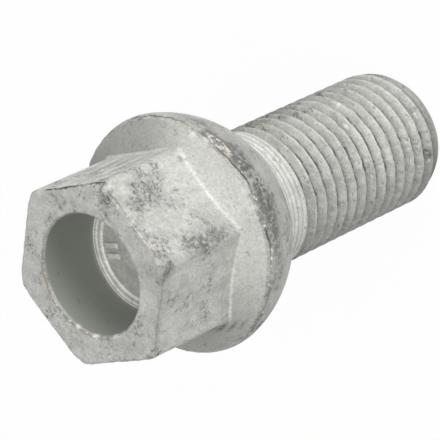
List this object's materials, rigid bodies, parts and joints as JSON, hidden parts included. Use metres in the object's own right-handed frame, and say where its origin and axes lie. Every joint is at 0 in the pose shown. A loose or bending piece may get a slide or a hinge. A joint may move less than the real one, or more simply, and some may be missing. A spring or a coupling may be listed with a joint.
{
  "type": "wheel bolt",
  "caption": "Ball-seat wheel bolt: hexagon head with a blind round recess, conical collar, spherical seat and a plain-modelled threaded shank with a chamfered end.",
  "frame": {"origin": "centre of the shank's end face, on the surface that the bolt stands on", "axes": "+Z along the bolt's axis from the shank's end to the head face; +X through a corner of the hexagon"},
  "size_m": [0.0234, 0.0234, 0.0442],
  "materials": {
    "zinc_coated_steel": "matt light-grey zinc-flake coating on steel, scuffed and burred on the edges"
  },
  "bodies": {
    "root": {"wheel_bolt": "zinc_coated_steel"}
  },
  "joints": []
}
